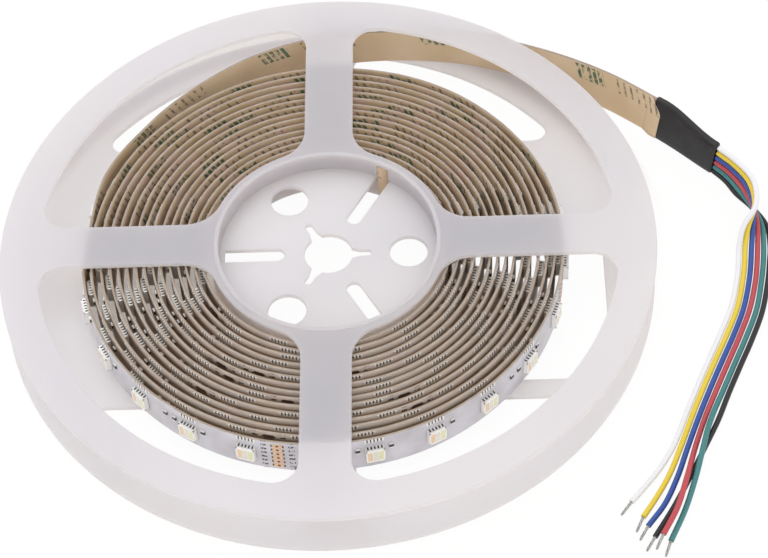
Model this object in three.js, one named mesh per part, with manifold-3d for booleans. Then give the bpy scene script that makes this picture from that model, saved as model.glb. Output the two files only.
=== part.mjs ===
// A reel of LED strip light: a moulded reel in two halves, a flexible strip of
// LED packages wound on its hub, and the strip's free end with its sleeve and
// six wires. Millimetres, +Z up. The reel's axis runs along Z, and one spoke of
// the upper flange points along +X.
import * as THREE from "three";
import { mergeVertices } from "three/addons/utils/BufferGeometryUtils.js";
import Module from "manifold-3d";

const wasm = await Module();
wasm.setup();

// Reel, both halves
const reelDiameter = 178;
const flangeThickness = 1.5;
const rimChamfer = 0.4;
const rimWidth = 10;
const seamGap = 0.3;
const roundSteps = 96;
const filletSteps = 20;

// Hub
const hubDiameter = 64;
const hubWall = 1.4;
const skirtWall = 0.6;
const skirtDepth = 4;
const skirtClearance = 0.3;
const hubRingMargin = 0.5;
const hubBeadHeight = 0.4;
const hubBeadWidth = 1.1;
const slitWidth = 4;
const slitAngle = 60;

// Hub floor
const floorDrop = 6.1;
const floorThickness = 1.5;
const arborDiameter = 13.2;
const keyReach = 11.8;
const keyWidth = 2;
const keyRootWidth = 4.6;
const keyRootReach = 8.6;
const floorHoleDiameter = 10.4;
const floorHoleCircle = 21.9;
const floorSlotWidth = 4;
const floorSlotInner = 12;
const floorSlotOuter = 28.4;

// Upper flange
const spokeWidth = 13.5;
const outerFillet = 6.5;
const innerFillet = 10;

// Lower flange
const segmentWindowEdge = 43.8;
const lowerSpokeWidth = 14.6;
const lowerFillet = 3.6;
const sideWindowRim = 13.8;
const sideWindowInner = 36;
const sideWindowFront = 38.2;
const sideWindowBack = 10;

// Strip
const stripWidth = 12;
const stripThickness = 0.6;
const stripSideGap = 0.25;
const rollDiameter = 130.35;
const rollGap = 0.9;
const wholeTurns = 14;
const windingLag = 8;
const windingEndAngle = -173.2;
const windingSteps = 32;
const windingBulge = 1;
const bulgeAngle = 150;
const tailReach = 112.84;
const tailSteps = 40;
const tailLean = 12;
const leanStart = 76;
const leanEnd = 98;

// LED packages
const ledPitch = 16.67;
const ledSize = 5;
const ledHeight = 1.6;
const ledWindow = 4;
const ledWindowDepth = 0.3;
const ledNotch = 0.83;
const ledStart = 9.7;
const ledFreeRun = 24;
const ledGap = 0.3;

// Sleeve
const sleeveLength = 22;
const sleeveThickness = 2.4;
const sleeveSteps = 12;
const sleeveBevel = 0.5;
const sleeveMargin = 0.6;
const sleeveBeyondStrip = 18;
const sleeveClearance = 0.3;
const sleeveEdgeClearance = 0.1;
const sleeveDropStart = 0.25;
const sleeveEndHeight = 10.4;
const sleeveEndLift = 0.1;

// Wires
const wireDiameter = 1.5;
const wireSteps = 26;
const wireSides = 8;
const endDiameter = 0.9;
const endTipDiameter = 0.6;
const wireGap = 0.3;

// How far a cutting body runs past what it cuts
const cutMargin = 1;

// Heights that follow from the strip
const reelHeight = 2 * (flangeThickness + stripSideGap) + stripWidth;
const stripBottom = flangeThickness + stripSideGap;
const stripTop = stripBottom + stripWidth;
const upperPlate = reelHeight - flangeThickness;
const floorTop = reelHeight - floorDrop;
const hubRadius = hubDiameter / 2;
const hubInner = hubRadius - hubWall;
const skirtOuter = hubInner - skirtClearance;
const skirtInner = skirtOuter - skirtWall;
const windowInner = hubRadius + hubRingMargin;
const windowOuter = reelDiameter / 2 - rimWidth;

// The winding, from its first point on the hub to where the free end leaves it
const windingStart = hubRadius + rollGap;
const windingStartAngle = slitAngle + windingLag;
const windingTurns = wholeTurns + (windingStartAngle - windingEndAngle) / 360;
const stripPitch = (rollDiameter / 2 - windingStart) / windingTurns;

const radians = THREE.MathUtils.degToRad;

function material(name, color, roughness, metalness = 0) {
  const made = new THREE.MeshStandardMaterial({ color, roughness, metalness });
  made.name = name;
  return made;
}

const materials = {
  plastic: material("reel_plastic", "#e6e3e2", 0.45),
  strip: material("strip_laminate", "#d9d4cc", 0.5),
  package: material("led_package", "#efeae0", 0.4),
  sleeve: material("heat_shrink_black", "#2f2d30", 0.55),
  tinned: material("tinned_copper", "#b9b6b0", 0.3, 0.9),
};

function part(name, geometry, surface) {
  const mesh = new THREE.Mesh(geometry, surface);
  mesh.name = name;
  return mesh;
}

// A closed mesh as a manifold solid, and back.
function solid(geometry) {
  const bare = geometry.clone();
  bare.deleteAttribute("normal");
  bare.deleteAttribute("uv");
  const merged = mergeVertices(bare, 1e-4);
  return new wasm.Manifold(
    new wasm.Mesh({
      numProp: 3,
      vertProperties: merged.attributes.position.array,
      triVerts: new Uint32Array(merged.index.array),
    }),
  );
}

function geometryOf(manifold) {
  const mesh = manifold.getMesh();
  const geometry = new THREE.BufferGeometry();
  geometry.setAttribute("position", new THREE.BufferAttribute(mesh.vertProperties, 3));
  geometry.setIndex(new THREE.BufferAttribute(mesh.triVerts, 1));
  geometry.computeVertexNormals();
  return geometry;
}

// An upright prism over a flat outline.
function prism(outline, bottom, top) {
  const geometry = new THREE.ExtrudeGeometry(new THREE.Shape(outline), {
    depth: top - bottom,
    bevelEnabled: false,
    steps: 1,
  });
  return geometry.translate(0, 0, bottom);
}

// A turned body from closed [radius, height] corners, listed counterclockwise.
function turned(corners) {
  const profile = corners.map(([radius, height]) => new THREE.Vector2(radius, height));
  profile.push(profile[0].clone());
  const geometry = new THREE.LatheGeometry(profile, roundSteps);
  return geometry.rotateX(Math.PI / 2);
}

function chamferedRim(radius, bottom, top) {
  return [
    [radius - rimChamfer, bottom],
    [radius, bottom + rimChamfer],
    [radius, top - rimChamfer],
    [radius - rimChamfer, top],
  ];
}

// Points of an arc from one angle to another, finer on the large rounds.
function arc(x, y, radius, from, to) {
  const step = radius > hubInner ? (2 * Math.PI) / roundSteps : (2 * Math.PI) / filletSteps;
  const count = Math.max(2, Math.round(Math.abs(to - from) / step));
  return new THREE.EllipseCurve(x, y, radius, radius, from, to, to < from).getPoints(count);
}

function disc(x, y, radius) {
  return arc(x, y, radius, 0, 2 * Math.PI).slice(0, -1);
}

function turnedOutline(outline, angle) {
  const axis = new THREE.Vector2();
  return outline.map((point) => point.clone().rotateAround(axis, radians(angle)));
}

const quarter = Math.PI / 2;

// Window of the upper flange between the spokes along +X and +Y, with a fillet in each corner.
function spokeWindow() {
  const edge = spokeWidth / 2;
  const far = Math.sqrt((windowOuter - outerFillet) ** 2 - (edge + outerFillet) ** 2);
  const near = Math.sqrt((windowInner + innerFillet) ** 2 - (edge + innerFillet) ** 2);
  const farAngle = Math.atan2(edge + outerFillet, far);
  const nearAngle = Math.atan2(edge + innerFillet, near);
  return [
    ...arc(far, edge + outerFillet, outerFillet, -quarter, farAngle),
    ...arc(0, 0, windowOuter, farAngle, quarter - farAngle),
    ...arc(edge + outerFillet, far, outerFillet, quarter - farAngle, 2 * quarter),
    ...arc(edge + innerFillet, near, innerFillet, 2 * quarter, 3 * quarter - nearAngle),
    ...arc(0, 0, windowInner, quarter - nearAngle, nearAngle),
    ...arc(near, edge + innerFillet, innerFillet, 2 * quarter + nearAngle, 3 * quarter),
  ];
}

// Window of the lower flange: a segment of the disc beside the spoke along +Y, in the +X half.
function segmentWindow() {
  const left = lowerSpokeWidth / 2 + lowerFillet;
  const low = segmentWindowEdge + lowerFillet;
  const reach = windowOuter - lowerFillet;
  const right = Math.sqrt(reach ** 2 - low ** 2);
  const high = Math.sqrt(reach ** 2 - left ** 2);
  const lowAngle = Math.atan2(low, right);
  const highAngle = Math.atan2(high, left);
  return [
    ...arc(right, low, lowerFillet, -quarter, lowAngle),
    ...arc(0, 0, windowOuter, lowAngle, highAngle),
    ...arc(left, high, lowerFillet, highAngle, 2 * quarter),
    ...arc(left, low, lowerFillet, 2 * quarter, 3 * quarter),
  ];
}

// The same window in another quarter of the flange.
function mirroredOutline(outline, x, y) {
  const points = outline.map((point) => new THREE.Vector2(point.x * x, point.y * y));
  return x * y > 0 ? points : points.reverse();
}

// Window of the lower flange beside the roll: a rectangle whose outer front corner follows the rim.
function sideWindow(bottom, top) {
  const outer = reelDiameter / 2 - sideWindowRim;
  const corners = [
    new THREE.Vector2(outer, -sideWindowFront),
    new THREE.Vector2(outer, sideWindowBack),
    new THREE.Vector2(sideWindowInner, sideWindowBack),
    new THREE.Vector2(sideWindowInner, -sideWindowFront),
  ];
  return solid(prism(corners, bottom, top)).intersect(solid(prism(disc(0, 0, windowOuter), bottom, top)));
}

// A radial slot along +X with a round inner end.
function radialSlot(width, inner, outer) {
  return [
    new THREE.Vector2(outer, width / 2),
    ...arc(inner + width / 2, 0, width / 2, quarter, 3 * quarter),
    new THREE.Vector2(outer, -width / 2),
  ];
}

// A drive key notch along +X, wide at the arbor hole and round at its tip.
function keyNotch() {
  return [
    new THREE.Vector2(arborDiameter / 4, keyRootWidth / 2),
    new THREE.Vector2(arborDiameter / 4, -keyRootWidth / 2),
    new THREE.Vector2(arborDiameter / 2, -keyRootWidth / 2),
    new THREE.Vector2(keyRootReach, -keyWidth / 2),
    ...arc(keyReach - keyWidth / 2, 0, keyWidth / 2, -quarter, quarter),
    new THREE.Vector2(keyRootReach, keyWidth / 2),
    new THREE.Vector2(arborDiameter / 2, keyRootWidth / 2),
  ];
}

// Cuts upright holes through a body between two heights.
function cut(body, outlines, bottom, top) {
  let rest = body;
  for (const outline of outlines) {
    rest = rest.subtract(solid(prism(outline, bottom, top)));
  }
  return rest;
}

function upperHalf() {
  const beadTop = reelHeight + hubBeadHeight;
  const body = solid(
    turned([
      [skirtInner, upperPlate - skirtDepth],
      [skirtOuter, upperPlate - skirtDepth],
      [skirtOuter, upperPlate],
      ...chamferedRim(reelDiameter / 2, upperPlate, reelHeight),
      [skirtInner + hubBeadWidth, reelHeight],
      [skirtInner + hubBeadWidth - hubBeadHeight, beadTop],
      [skirtInner, beadTop],
    ]),
  );
  const windows = [0, 90, 180, 270].map((angle) => turnedOutline(spokeWindow(), angle));
  const open = cut(body, windows, upperPlate - cutMargin, beadTop + cutMargin);
  const slit = turnedOutline(radialSlot(slitWidth, floorSlotInner, windowInner), slitAngle);
  return geometryOf(cut(open, [slit], upperPlate - skirtDepth - cutMargin, upperPlate));
}

function lowerHalf() {
  const hubTop = upperPlate - seamGap;
  const floorBottom = floorTop - floorThickness;
  const flange = solid(
    turned([
      [hubInner, 0],
      ...chamferedRim(reelDiameter / 2, 0, flangeThickness),
      [hubRadius, flangeThickness],
      [hubRadius, hubTop],
      [hubInner, hubTop],
    ]),
  );
  const quarters = [[1, 1], [-1, 1], [-1, -1], [1, -1]];
  const windows = quarters.map(([x, y]) => mirroredOutline(segmentWindow(), x, y));
  const windowTop = flangeThickness + cutMargin;
  const open = cut(flange, windows, -cutMargin, windowTop).subtract(sideWindow(-cutMargin, windowTop));
  const holes = [disc(0, 0, arborDiameter / 2)];
  for (const angle of [0, 120, 240]) {
    holes.push(turnedOutline(keyNotch(), angle));
    holes.push(turnedOutline(disc(floorHoleCircle, 0, floorHoleDiameter / 2), angle));
    holes.push(turnedOutline(radialSlot(floorSlotWidth, floorSlotInner, floorSlotOuter), angle + 60));
  }
  const plate = solid(prism(disc(0, 0, (hubInner + hubRadius) / 2), floorBottom, floorTop));
  const slit = turnedOutline(radialSlot(slitWidth, floorSlotInner, windowInner), slitAngle);
  const drilled = cut(plate, holes, floorBottom - cutMargin, floorTop + cutMargin);
  return geometryOf(cut(open.add(drilled), [slit], flangeThickness, hubTop + cutMargin));
}

// Centre line of the winding, from the hub outwards, turning clockwise.
function windingPoint(turn) {
  const angle = windingStartAngle - 360 * turn;
  const share = turn / windingTurns;
  const bulge = windingBulge * share ** 2 * Math.cos(radians(angle - bulgeAngle));
  const radius = windingStart + stripPitch * turn + bulge;
  return new THREE.Vector2(radius * Math.cos(radians(angle)), radius * Math.sin(radians(angle)));
}

function windingLine() {
  const count = Math.round(windingTurns * windingSteps);
  const points = [];
  for (let step = 0; step <= count; step += 1) {
    points.push(windingPoint((windingTurns * step) / count));
  }
  return points;
}

// Free end of the strip, from the winding to where the wires start: each point's angle, and its
// share of the way out from the roll to the free end's reach.
const tailRoute = [
  [158.93, 0.0333], [138.53, 0.0773], [122.35, 0.1302], [108.66, 0.1738], [96.7, 0.2148],
  [85.7, 0.2548], [75.55, 0.3139], [65.49, 0.3873], [56.64, 0.4563], [46.33, 0.5469],
  [35.92, 0.6638], [27.19, 0.7813], [21.78, 0.8829], [16.77, 0.9999],
];

function tailCurve() {
  const winding = windingLine();
  const points = tailRoute.map(([angle, share]) => {
    const radius = THREE.MathUtils.lerp(rollDiameter / 2, tailReach, share);
    return new THREE.Vector2(radius * Math.cos(radians(angle)), radius * Math.sin(radians(angle)));
  });
  points.unshift(winding[winding.length - 1]);
  return new THREE.SplineCurve(points);
}

const tail = tailCurve();
const tailLength = tail.getLength();
const sleeveStart = tailLength - sleeveLength;
const stripEnd = tailLength - sleeveBeyondStrip;

// Points of the free end between two distances along it.
function tailPoints(from, to, steps) {
  const points = [];
  for (let step = 0; step <= steps; step += 1) {
    points.push(tail.getPointAt((from + ((to - from) * step) / steps) / tailLength));
  }
  return points;
}

function stripLine() {
  return [...windingLine(), ...tailPoints(0, stripEnd, tailSteps).slice(1)];
}

// A flat outline of even thickness on both sides of a line.
function band(line, thickness) {
  const side = line.map((point, index) => {
    const before = line[Math.max(index - 1, 0)];
    const after = line[Math.min(index + 1, line.length - 1)];
    const along = after.clone().sub(before).normalize();
    return new THREE.Vector2(-along.y, along.x).multiplyScalar(thickness / 2);
  });
  const left = line.map((point, index) => point.clone().add(side[index]));
  const right = line.map((point, index) => point.clone().sub(side[index]));
  return [...right, ...left.reverse()];
}

// Leans what stands outside the winding outwards, more with height.
const leanDirection = new THREE.Vector2(0.68, 0.73).normalize();

function leanAt(x, y) {
  const share = THREE.MathUtils.smoothstep(Math.hypot(x, y), leanStart, leanEnd);
  return share * Math.tan(radians(tailLean));
}

function leaned(x, y, z) {
  const shift = leanAt(x, y) * (z - stripBottom);
  return new THREE.Vector3(x + leanDirection.x * shift, y + leanDirection.y * shift, z);
}

function lean(geometry) {
  const position = geometry.attributes.position;
  for (let index = 0; index < position.count; index += 1) {
    const p = leaned(position.getX(index), position.getY(index), position.getZ(index));
    position.setXYZ(index, p.x, p.y, p.z);
  }
  return geometry;
}

function stripBody(thickness) {
  return lean(prism(band(stripLine(), thickness), stripBottom, stripTop));
}

// Distance along the strip line up to each of its points.
function distances(line) {
  const sums = [0];
  for (let index = 1; index < line.length; index += 1) {
    sums.push(sums[index - 1] + line[index].distanceTo(line[index - 1]));
  }
  return sums;
}

function pointAt(line, sums, distance) {
  const index = Math.min(Math.max(sums.findIndex((sum) => sum > distance), 1), line.length - 1);
  const share = (distance - sums[index - 1]) / (sums[index] - sums[index - 1]);
  const along = line[index].clone().sub(line[index - 1]).normalize();
  return { point: line[index - 1].clone().lerp(line[index], share), along };
}

function ledBody() {
  const half = ledSize / 2;
  const box = new THREE.BoxGeometry(ledSize, ledHeight, ledSize).translate(0, ledHeight / 2, 0);
  const pocket = new THREE.BoxGeometry(ledWindow, 2 * ledWindowDepth, ledWindow);
  pocket.translate(0, ledHeight, 0);
  const notch = new THREE.BoxGeometry(ledNotch, ledHeight + 2 * cutMargin, ledNotch);
  notch.rotateY(Math.PI / 4).translate(half, ledHeight / 2, half);
  return geometryOf(solid(box).subtract(solid(pocket)).subtract(solid(notch)));
}

// LED packages of the outer turn and the free end, on the strip's outer face.
function ledMeshes() {
  const line = stripLine();
  const sums = distances(line);
  const rollEnd = sums[windingLine().length - 1];
  const body = ledBody();
  const onOuterTurn = Math.floor((Math.PI * rollDiameter - ledFreeRun) / ledPitch);
  const first = 1 - onOuterTurn;
  const last = Math.floor((sleeveStart - ledStart - ledSize) / ledPitch);
  const meshes = [];
  const middleHeight = (stripBottom + stripTop) / 2;
  for (let index = first; index <= last; index += 1) {
    const { point, along } = pointAt(line, sums, rollEnd + ledStart + index * ledPitch);
    const forward = new THREE.Vector3(along.x, along.y, 0);
    const up = new THREE.Vector3(0, 0, 1).applyAxisAngle(forward, -Math.atan(leanAt(point.x, point.y)));
    const out = new THREE.Vector3().crossVectors(up, forward);
    const seat = leaned(point.x, point.y, middleHeight);
    const mesh = part(`led_package_${index - first + 1}`, body, materials.package);
    mesh.applyMatrix4(new THREE.Matrix4().makeBasis(forward, out, up));
    mesh.position.copy(seat).addScaledVector(out, stripThickness / 2 + ledGap);
    meshes.push(mesh);
  }
  return meshes;
}

// Sleeve over the strip's end: a soft-edged band that drops and narrows to the height of the wires.
function sleeveBody() {
  const line = tailPoints(sleeveStart + sleeveBevel, tailLength - wireGap - sleeveBevel, sleeveSteps);
  const height = stripWidth + 2 * sleeveMargin;
  const core = new THREE.Shape(band(line, sleeveThickness - 2 * sleeveBevel));
  const geometry = new THREE.ExtrudeGeometry(core, {
    depth: height - 2 * sleeveBevel,
    bevelEnabled: true,
    bevelThickness: sleeveBevel,
    bevelSize: sleeveBevel,
    bevelSegments: 2,
    steps: 1,
  });
  geometry.translate(0, 0, stripBottom - sleeveMargin + sleeveBevel);
  const start = line[0];
  const reach = line[line.length - 1].distanceTo(start);
  const position = geometry.attributes.position;
  for (let index = 0; index < position.count; index += 1) {
    const x = position.getX(index);
    const y = position.getY(index);
    const share = Math.min(Math.hypot(x - start.x, y - start.y) / reach, 1);
    const drop = THREE.MathUtils.smoothstep(share, sleeveDropStart, 1);
    const bottom = THREE.MathUtils.lerp(stripBottom - sleeveMargin, sleeveEndLift, drop);
    const tall = THREE.MathUtils.lerp(height, sleeveEndHeight, drop);
    const level = (position.getZ(index) - (stripBottom - sleeveMargin)) / height;
    position.setZ(index, bottom + level * tall);
  }
  const inside = tailPoints(sleeveStart - cutMargin, stripEnd + sleeveClearance, sleeveSteps);
  const room = band(inside, stripThickness + 2 * sleeveClearance);
  const pocket = lean(prism(room, stripBottom - sleeveEdgeClearance, stripTop + sleeveEdgeClearance));
  return geometryOf(solid(lean(geometry)).subtract(solid(pocket)));
}

// Wires, each from the sleeve to the bared end, the last two points being the bared end itself.
const wires = {
  white: { color: "#e6e6e9", route: [
    [109.1, 33.7, 9.1], [113.6, 28.7, 9.1], [117.5, 21.8, 9.2], [117.5, 13.1, 8.8], [113.9, 8, 5.8],
    [112.5, 3.7, 2.5], [112, -0.9, 1], [111.2, -5.9, 0.85], [108.9, -15.1, 0.85], [105.3, -24, 0.85],
    [101.6, -32.3, 0.85], [97.8, -40.9, 0.85], [94.2, -49.5, 0.85], [89.8, -60.3, 0.85], [85.8, -67.1, 0.85],
    [81.8, -72.3, 0.85], [77.8, -77.1, 0.85], [75, -80.7, 0.5],
  ] },
  yellow: { color: "#e3c62f", route: [
    [108.9, 33.4, 7.4], [113.1, 28.7, 7.4], [116.7, 22.2, 7.5], [117.4, 14.3, 7.3], [115.3, 8.8, 4.8],
    [114.2, 4, 2.2], [113.7, -0.9, 1], [112.8, -6.1, 0.85], [110.5, -15.6, 0.85], [106.9, -24.6, 0.85],
    [103.1, -33, 0.85], [99.3, -41.6, 0.85], [95.7, -50.2, 0.85], [91.8, -60.3, 0.85], [87.9, -69.5, 0.85],
    [83.8, -76.7, 0.85], [80.5, -81.7, 0.85], [78.4, -86.1, 0.5],
  ] },
  blue: { color: "#2b4c96", route: [
    [108.6, 33.1, 5.8], [112.6, 28.7, 5.8], [116, 22.6, 5.9], [117.3, 15.5, 5.7], [116.7, 9.6, 3.8],
    [116, 4.2, 1.9], [115.4, -0.9, 1], [114.5, -6.3, 0.85], [112.1, -16, 0.85], [108.5, -25.2, 0.85],
    [104.7, -33.6, 0.85], [100.9, -42.2, 0.85], [97.3, -50.8, 0.85], [93.6, -60.4, 0.85], [90.1, -69.9, 0.85],
    [86.3, -77.9, 0.85], [81.6, -84.4, 0.85], [78.9, -88.9, 0.5],
  ] },
  red: { color: "#b3323a", route: [
    [108.4, 32.9, 4.1], [112.1, 28.6, 4.1], [115.2, 23, 4.2], [117.3, 16.7, 4.1], [118.1, 10.4, 2.9],
    [117.7, 4.4, 1.6], [117.1, -0.9, 0.95], [116.2, -6.5, 0.85], [113.7, -16.4, 0.85], [110, -25.8, 0.85],
    [106.2, -34.3, 0.85], [102.4, -42.9, 0.85], [98.8, -51.4, 0.85], [95.5, -60.6, 1], [92.3, -71.3, 2.9],
    [89.2, -80.3, 2.9], [85.1, -88, 2.6], [82.8, -92.6, 2],
  ] },
  green: { color: "#1f6f68", route: [
    [108.2, 32.6, 2.5], [111.5, 28.6, 2.5], [114.4, 23.4, 2.5], [117.2, 17.9, 2.5], [119.5, 11.2, 1.9],
    [119.4, 4.6, 1.2], [118.8, -0.9, 0.85], [117.8, -6.7, 0.85], [115.4, -16.9, 0.85], [111.6, -26.4, 0.85],
    [107.8, -34.9, 0.85], [104, -43.5, 0.9], [101.3, -49.6, 1.2], [99, -56, 2.4],
    [97.3, -61.9, 2.7], [94.7, -70.6, 1.9], [91.4, -79.6, 0.9], [87, -89, 0.85], [85.4, -93.2, 0.5],
  ] },
  black: { color: "#1c1b1e", route: [
    [107.9, 32.4, 0.85], [111, 28.6, 0.85], [113.6, 23.8, 0.85], [117.2, 19.1, 0.85], [120.9, 12.1, 0.85],
    [121.2, 4.8, 0.85], [120.5, -0.9, 0.85], [119.5, -6.9, 0.85], [117, -17.3, 0.85], [113.2, -27, 0.85],
    [109.3, -35.6, 0.85], [105.5, -44.2, 0.85], [102, -52.6, 0.85], [98.1, -60.5, 0.85], [93, -70.6, 0.85],
    [88.4, -79.1, 0.85], [83.1, -87.7, 0.85], [80.1, -92.6, 0.5],
  ] },
};

function wireMeshes() {
  const radius = wireDiameter / 2;
  const round = new THREE.EllipseCurve(0, 0, radius, radius).getPoints(wireSides);
  const section = new THREE.Shape(round.slice(0, -1));
  const meshes = [];
  for (const [name, { color, route }] of Object.entries(wires)) {
    const points = route.map(([x, y, z]) => new THREE.Vector3(x, y, z));
    const tip = points.pop();
    const end = points[points.length - 1];
    const geometry = new THREE.ExtrudeGeometry(section, {
      extrudePath: new THREE.CatmullRomCurve3(points),
      steps: wireSteps,
      bevelEnabled: false,
    });
    const wire = part(`wire_${name}`, geometry, material(`wire_${name}`, color, 0.4));
    const along = tip.clone().sub(end).normalize();
    const reach = tip.distanceTo(end) - wireGap;
    const rod = new THREE.CylinderGeometry(endTipDiameter / 2, endDiameter / 2, reach, wireSides);
    const bared = part(`wire_end_${name}`, rod, materials.tinned);
    bared.quaternion.setFromUnitVectors(new THREE.Vector3(0, 1, 0), along);
    bared.position.copy(end).addScaledVector(along, wireGap + reach / 2);
    meshes.push(wire, bared);
  }
  return meshes;
}

const reel = new THREE.Group();
reel.add(part("reel_upper_half", upperHalf(), materials.plastic));
reel.add(part("reel_lower_half", lowerHalf(), materials.plastic));
reel.add(part("led_strip", stripBody(stripThickness), materials.strip));
reel.add(part("sleeve", sleeveBody(), materials.sleeve));
reel.add(...ledMeshes());

// The origin is under the middle of everything but the loose wires.
const box = new THREE.Box3().setFromObject(reel);
const middle = box.getCenter(new THREE.Vector3());
reel.add(...wireMeshes());
reel.position.set(-middle.x, -middle.y, -box.min.z);

const group = new THREE.Group();
group.add(reel);

export default group;
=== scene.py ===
# An LED strip light on its moulded reel: two white flanges on a hub, about
# fifteen turns of strip with its packages facing out and its release liner
# facing in, and the free end with a heat-shrink sleeve and six wires.
# Metres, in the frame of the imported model.
import math

import bmesh
import bpy
from mathutils import Matrix, Vector


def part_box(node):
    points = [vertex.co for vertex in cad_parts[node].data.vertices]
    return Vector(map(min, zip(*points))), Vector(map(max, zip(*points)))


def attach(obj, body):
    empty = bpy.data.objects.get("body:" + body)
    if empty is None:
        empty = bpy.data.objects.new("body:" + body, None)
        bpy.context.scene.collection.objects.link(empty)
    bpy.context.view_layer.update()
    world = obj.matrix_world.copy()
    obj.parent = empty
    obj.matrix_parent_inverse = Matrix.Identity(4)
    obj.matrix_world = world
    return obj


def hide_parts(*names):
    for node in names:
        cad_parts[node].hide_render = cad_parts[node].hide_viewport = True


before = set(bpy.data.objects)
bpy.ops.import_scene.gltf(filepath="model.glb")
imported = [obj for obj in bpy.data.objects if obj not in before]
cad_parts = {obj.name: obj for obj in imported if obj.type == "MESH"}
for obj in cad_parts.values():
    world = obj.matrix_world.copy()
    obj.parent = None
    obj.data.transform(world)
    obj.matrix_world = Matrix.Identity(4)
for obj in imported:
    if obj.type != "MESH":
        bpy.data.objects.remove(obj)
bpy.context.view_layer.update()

MM = 0.001

# The reel, read from the frame
lower_low, lower_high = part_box("reel_lower_half")
AXIS_X = (lower_low[0] + lower_high[0]) / 2
REEL_RADIUS = (lower_high[0] - lower_low[0]) / 2 / MM
BEAD_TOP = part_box("reel_upper_half")[1][2] / MM

# Reel sizes in millimetres, from the reel's axis
FLANGE = 1.5
REEL_HEIGHT = 15.5
RIM_WIDTH = 10
HUB_RADIUS = 32
HUB_INNER = 30.6
HUB_TOP = 13.7
HUB_SUNK = 1
SKIRT_OUTER = 30.3
SKIRT_INNER = 29.7
SKIRT_BOTTOM = 10
SKIRT_SUNK = 1
BEAD_SUNK = 0.3
BEAD_WIDTH = 1.2
BEAD_CROWN = ((1.1, 0.15), (0.85, 0), (0.25, 0), (0, 0.2))
WINDOW_INNER = 32.5
FLOOR_TOP = 9.4
FLOOR_BOTTOM = 7.9
SPOKE = 13.5
OUTER_FILLET = 6.5
INNER_FILLET = 10
LOWER_SPOKE = 14.6
LOWER_FILLET = 3.6
SEGMENT_EDGE = 43.8
REAR_SHIFT = (-0.9, 1.5)
EDGE_ROUNDING = 0.4
FLOOR_ROUNDING = 0.3
SKIRT_ROUNDING = 0.1
TUBE_ROUNDING = 0.2
SHARP_DEGREES = 40
RIM_POINTS = 256
HUB_POINTS = 160
SIDE_OUTER = 75.2
SIDE_INNER = 36
SIDE_FRONT = 38.2
SIDE_BACK = 10
ARBOR_RADIUS = 6.6
KEY_REACH = 11.8
KEY_WIDTH = 2
KEY_ROOT_WIDTH = 3.4
KEY_ROOT_REACH = 8.6
HOLE_RADIUS = 5.2
HOLE_CIRCLE = 21.9
SLOT_WIDTH = 4
SLOT_INNER = 12
SLOT_OUTER = 28.4
SLIT_ANGLE = 60

# Strip sizes in millimetres
STRIP_BOTTOM = 1.75
STRIP_TOP = 13.75
STRIP_WIDTH = STRIP_TOP - STRIP_BOTTOM
STRIP_THICKNESS = 0.6
STRIP_PITCH = 2.2
WINDING_START = 32.9
WINDING_TURNS = 14.67
WINDING_LAG = 8
WINDING_BULGE = 1
BULGE_ANGLE = 150
LOOSE_BULGE = 1.2
LOOSE_ANGLE = -95
WOBBLE = 0.09
TAIL_LEAN = math.radians(12)
LEAN_START = 76
LEAN_END = 98
LEAN_DIRECTION = Vector((0.68, 0.73)).normalized()
SLEEVE_LENGTH = 22
SLEEVE_OVERLAP = 4
LED_PITCH = 16.67
LED_SIZE = 5
LED_HEIGHT = 1.45
LEDS_PER_CUT = 6
LED_START = 8.3
CUT_PHASE = -5.5

# Wires in millimetres: WIRE_REST is the height of a wire's middle where it lies on the floor
WIRE_DIAMETER = 1.5
WIRE_REST = 0.85
TIP_LENGTH = 4.7
STRANDS = 7
STRAND_RADIUS = 0.14
STRAND_ORBIT = 0.27
STRAND_TWIST = 250
STRAND_GATHER = 0.15
STRAND_UNEVEN = 0.35
STRAND_SUNK = 0.4


def at(x, y, z):
    """A point given in millimetres from the reel's axis."""
    return Vector((AXIS_X + x * MM, y * MM, z * MM))


def linked(name, data):
    """An object made from its data and put in the scene."""
    made = bpy.data.objects.new(name, data)
    bpy.context.collection.objects.link(made)
    return made


def eased(value, none, full):
    """Zero at one value, rising smoothly to one at the other."""
    share = min(max((value - none) / (full - none), 0), 1)
    return share * share * (3 - 2 * share)


# Camera: the photograph looks down at the reel from the front, slightly rolled.
CAMERA_AZIMUTH = math.radians(2.663)
CAMERA_ELEVATION = math.radians(52.373)
CAMERA_ROLL = math.radians(-3.744)
CAMERA_DISTANCE = 691.33
CAMERA_TARGET = (14.77, -2.176, 0)
FOCAL_PIXELS = 2513.3
PHOTO_WIDTH = 768
SENSOR_WIDTH = 36


def make_camera():
    back = Vector((
        math.cos(CAMERA_ELEVATION) * math.sin(CAMERA_AZIMUTH),
        -math.cos(CAMERA_ELEVATION) * math.cos(CAMERA_AZIMUTH),
        math.sin(CAMERA_ELEVATION),
    ))
    level = Vector((math.cos(CAMERA_AZIMUTH), math.sin(CAMERA_AZIMUTH), 0))
    upright = back.cross(level)
    right = math.cos(CAMERA_ROLL) * level + math.sin(CAMERA_ROLL) * upright
    up = back.cross(right)
    data = bpy.data.cameras.new("photo_camera")
    data.sensor_width = SENSOR_WIDTH
    data.lens = FOCAL_PIXELS * SENSOR_WIDTH / PHOTO_WIDTH
    data.clip_start = 0.01
    data.clip_end = 20
    camera = linked("photo_camera", data)
    turn = Matrix((right, up, back)).transposed().to_4x4()
    place = at(*CAMERA_TARGET) + back * CAMERA_DISTANCE * MM
    camera.matrix_world = Matrix.Translation(place) @ turn
    bpy.context.scene.camera = camera


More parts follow.
